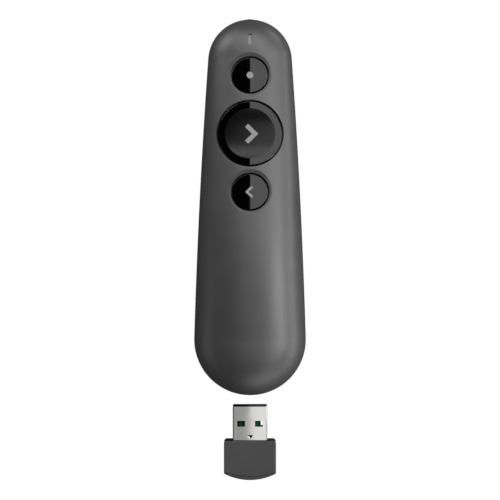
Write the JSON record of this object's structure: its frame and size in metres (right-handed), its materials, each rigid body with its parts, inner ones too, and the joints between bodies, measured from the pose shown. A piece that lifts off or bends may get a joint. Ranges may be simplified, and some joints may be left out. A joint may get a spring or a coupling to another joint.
{
  "type": "wireless presentation clicker",
  "caption": "Palm-sized presentation remote with a laser nose, round buttons, a slide-off battery door and a USB receiver that stows in its tail.",
  "frame": {"origin": "middle of the clicker and its pulled-out receiver in plan, on the plane that the belly rests on", "axes": "+Z out of the button face, +Y from the receiver towards the laser nose, +X to the right seen from above with the nose up"},
  "size_m": [0.0384, 0.159, 0.027],
  "materials": {
    "upper_casing": "satin paint",
    "lower_casing": "satin",
    "door": "satin",
    "frame": "moulded",
    "button_gloss": "glossy",
    "switch_plunger": "moulded",
    "switch_can": "stamped",
    "circuit_board": "solder mask",
    "chips": "moulded epoxy",
    "led": "clear",
    "film_lead": "polyimide film",
    "led_window": "translucent",
    "brass": "turned",
    "lens": "polished",
    "copper": "drawn",
    "cell": "printed sleeve",
    "spring_steel": "nickel plated",
    "screw": "black zinc",
    "receiver_plastic": "fine texture",
    "plug_steel": "nickel plated",
    "insulator": "moulded",
    "receiver_board": "solder mask",
    "gold_plate": "gold plated"
  },
  "bodies": {
    "casing": {"top_shell": "upper_casing", "bottom_shell": "lower_casing", "mid_frame": "frame", "laser_switch": "switch_can", "next_switch": "switch_can", "back_switch": "switch_can", "main_board": "circuit_board", "board_chips": "chips", "status_led": "led", "led_flex": "film_lead", "led_window": "led_window", "laser_barrel": "brass", "laser_lens": "lens", "laser_leads": "copper", "nose_window": "button_gloss", "battery_left": "cell", "battery_right": "cell", "battery_springs": "spring_steel", "battery_contacts": "spring_steel", "case_screws": "screw"},
    "laser_key": {"laser_button": "button_gloss", "laser_plunger": "switch_plunger"},
    "next_key": {"next_button": "button_gloss", "next_plunger": "switch_plunger"},
    "back_key": {"back_button": "button_gloss", "back_plunger": "switch_plunger"},
    "door": {"battery_door": "door"},
    "receiver": {"receiver_housing": "receiver_plastic", "receiver_plug": "plug_steel", "receiver_tongue": "insulator", "receiver_board": "receiver_board", "receiver_contacts": "gold_plate"}
  },
  "joints": [
    {"name": "laser_press", "type": "slide", "parent": "casing", "child": "laser_key", "axis": [0, -0.0993, -0.9951], "range_m": [0, 0.0006], "stiffness_N_per_m": 2000},
    {"name": "next_press", "type": "slide", "parent": "casing", "child": "next_key", "axis": [0, -0.0993, -0.9951], "range_m": [0, 0.0006], "stiffness_N_per_m": 2000},
    {"name": "back_press", "type": "slide", "parent": "casing", "child": "back_key", "axis": [0, -0.0993, -0.9951], "range_m": [0, 0.0006], "stiffness_N_per_m": 2000},
    {"name": "door_slide", "type": "slide", "parent": "casing", "child": "door", "axis": [0, -1, 0], "range_m": [0, 0.06]},
    {"name": "receiver_stow", "type": "slide", "parent": "casing", "child": "receiver", "axis": [0, 1, 0], "range_m": [0, 0.0298]}
  ]
}
